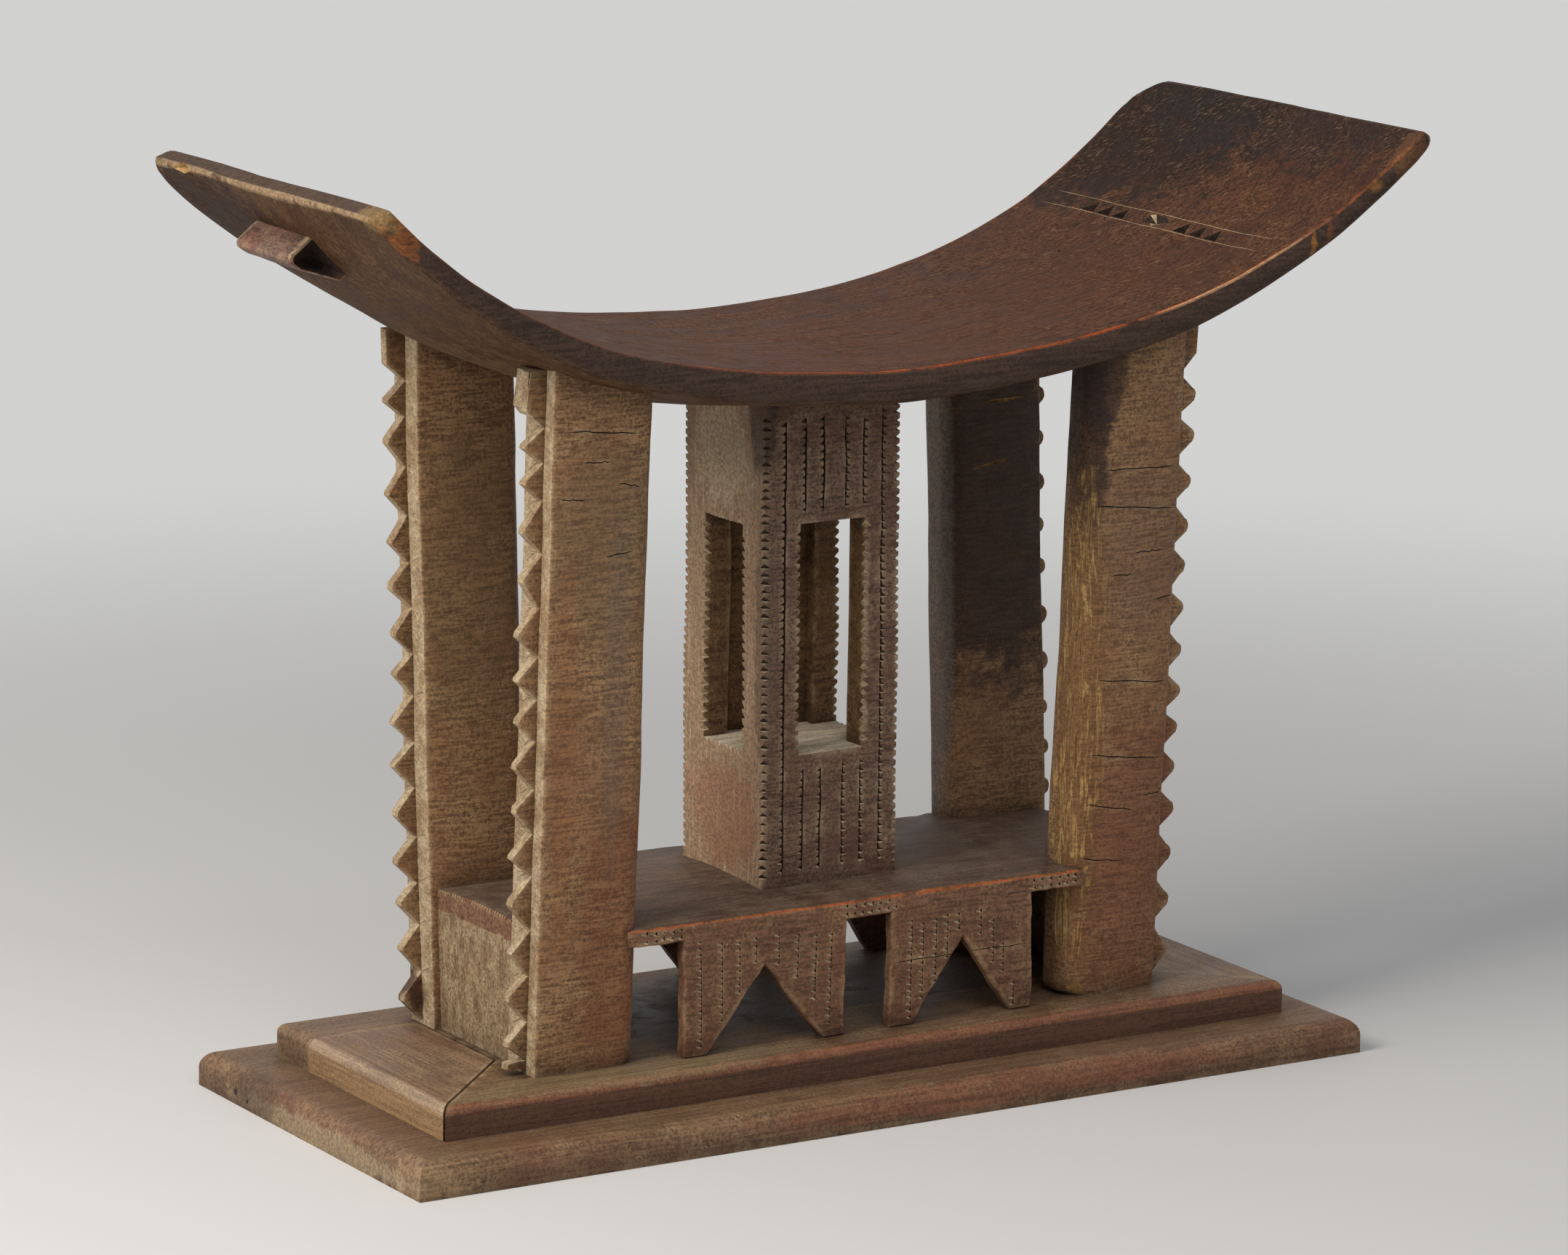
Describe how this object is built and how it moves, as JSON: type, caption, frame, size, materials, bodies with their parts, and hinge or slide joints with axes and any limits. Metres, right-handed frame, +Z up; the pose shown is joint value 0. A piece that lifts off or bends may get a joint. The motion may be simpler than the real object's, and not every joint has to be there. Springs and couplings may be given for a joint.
{
  "type": "ashanti stool",
  "caption": "Carved wooden stool with a curved saddle seat, toothed legs, a hollow windowed column and a shelf, standing on a stepped rectangular plinth.",
  "frame": {"origin": "middle of the plinth's underside, on the floor", "axes": "+X along the seat to its right end, +Y to the back, +Z up"},
  "size_m": [0.658, 0.274, 0.522],
  "materials": {
    "carved_wood": "dark stained and blackened by handling, worn to bare tan wood along the edges, dusty in the cuts",
    "plinth_wood": "brown stained board, satin, with scuffed edges",
    "steel_screws": "plain dull steel"
  },
  "bodies": {
    "root": {"carved_stool": "carved_wood", "plinth_board": "plinth_wood", "front_rail": "plinth_wood", "left_end_rail": "plinth_wood", "right_end_rail": "plinth_wood", "back_rail": "plinth_wood", "core_board": "plinth_wood", "leg_screws": "steel_screws", "rail_screws": "steel_screws"}
  },
  "joints": []
}
